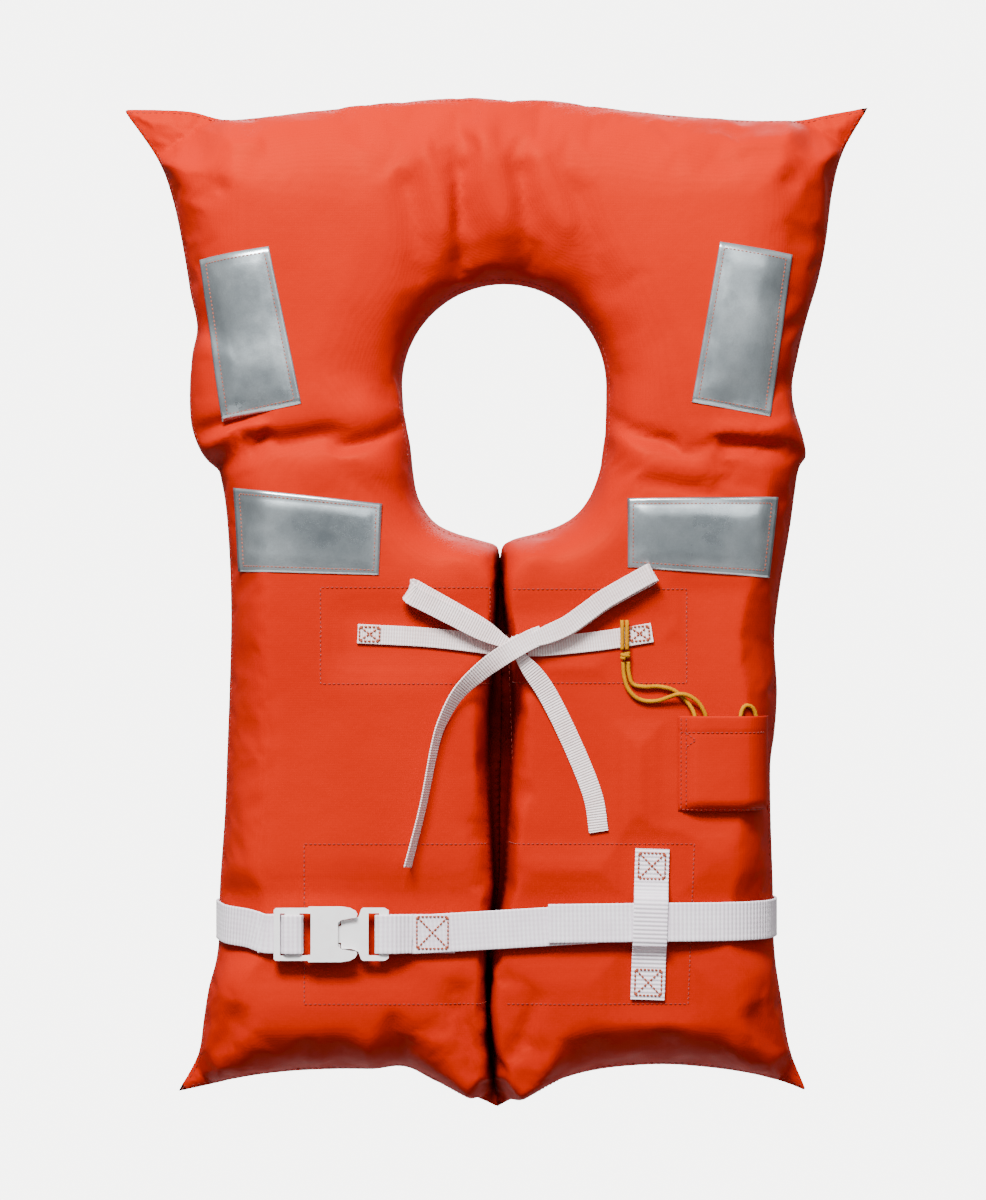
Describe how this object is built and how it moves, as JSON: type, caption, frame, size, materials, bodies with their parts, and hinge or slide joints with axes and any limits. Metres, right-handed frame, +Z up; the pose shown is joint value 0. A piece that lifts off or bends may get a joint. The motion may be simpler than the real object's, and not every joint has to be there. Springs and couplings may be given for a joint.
{
  "type": "foam life jacket",
  "caption": "Keyhole-yoke foam life jacket with a padded collar, split fronts, reflective patches, a tied front, a buckled waist belt and a whistle pocket.",
  "frame": {"origin": "top of the neck opening, in the seam plane between the front and back sheets, where the jacket hangs", "axes": "+Z up towards the wearer's head, the outer front faces -Y, +X to the viewer's right"},
  "size_m": [0.4885, 0.1032, 0.659],
  "materials": {
    "orange_fabric": "coated nylon, slight sheen",
    "foam": "closed-cell foam",
    "reflective_tape": "silver retro-reflective",
    "webbing": "ribbed white webbing",
    "tie_tape": "woven white tape",
    "buckle_plastic": "moulded white, satin",
    "lanyard_cord": "braided yellow cord",
    "whistle_plastic": "moulded orange"
  },
  "bodies": {
    "collar": {"collar_foam_front": "foam", "collar_foam_back": "foam", "collar_front_cover": "orange_fabric", "collar_back_cover": "orange_fabric", "collar_reflector_left": "reflective_tape", "collar_reflector_right": "reflective_tape"},
    "fronts": {"left_front_cover": "orange_fabric", "left_back_cover": "orange_fabric", "right_front_cover": "orange_fabric", "right_back_cover": "orange_fabric", "tie_patch_left": "orange_fabric", "tie_patch_right": "orange_fabric", "belt_patch_left": "orange_fabric", "belt_patch_right": "orange_fabric", "whistle_pocket": "orange_fabric", "left_foam_front": "foam", "left_foam_back": "foam", "right_foam_front": "foam", "right_foam_back": "foam", "chest_reflector_left": "reflective_tape", "chest_reflector_right": "reflective_tape", "belt_left": "webbing", "belt_right": "webbing", "belt_back": "webbing", "belt_keeper": "webbing", "tie_tape_left": "tie_tape", "tie_tape_right": "tie_tape", "tie_knot": "tie_tape", "bow_loop_left": "tie_tape", "bow_loop_right": "tie_tape", "tie_tail_left": "tie_tape", "tie_tail_right": "tie_tape", "buckle_socket": "buckle_plastic", "lanyard_hitch": "lanyard_cord", "lanyard_knot": "lanyard_cord", "lanyard_strand_a": "lanyard_cord", "lanyard_strand_b": "lanyard_cord"},
    "prong": {"buckle_prong": "buckle_plastic", "prong_webbing": "webbing"},
    "arm_upper": {"prong_arm_upper": "buckle_plastic"},
    "arm_lower": {"prong_arm_lower": "buckle_plastic"},
    "whistle": {"whistle": "whistle_plastic"}
  },
  "joints": [
    {"name": "shoulder_fold", "type": "hinge", "parent": "collar", "child": "fronts", "pos_m": [0, 0.038, -0.112], "axis": [1, 0, 0], "range_deg": [0, 90]},
    {"name": "prong_slide", "type": "slide", "parent": "fronts", "child": "prong", "axis": [1, 0, 0], "range_m": [0, 0.03]},
    {"name": "arm_upper_squeeze", "type": "hinge", "parent": "prong", "child": "arm_upper", "pos_m": [-0.1061, -0.05475, -0.4128], "axis": [0, 1, 0], "range_deg": [-7, 0], "stiffness_Nm_per_rad": 0.05},
    {"name": "arm_lower_squeeze", "type": "hinge", "parent": "prong", "child": "arm_lower", "pos_m": [-0.1061, -0.05475, -0.4282], "axis": [0, 1, 0], "range_deg": [0, 7], "stiffness_Nm_per_rad": 0.05},
    {"name": "whistle_pull", "type": "slide", "parent": "fronts", "child": "whistle", "axis": [0, 0, 1], "range_m": [0, 0.07]}
  ]
}
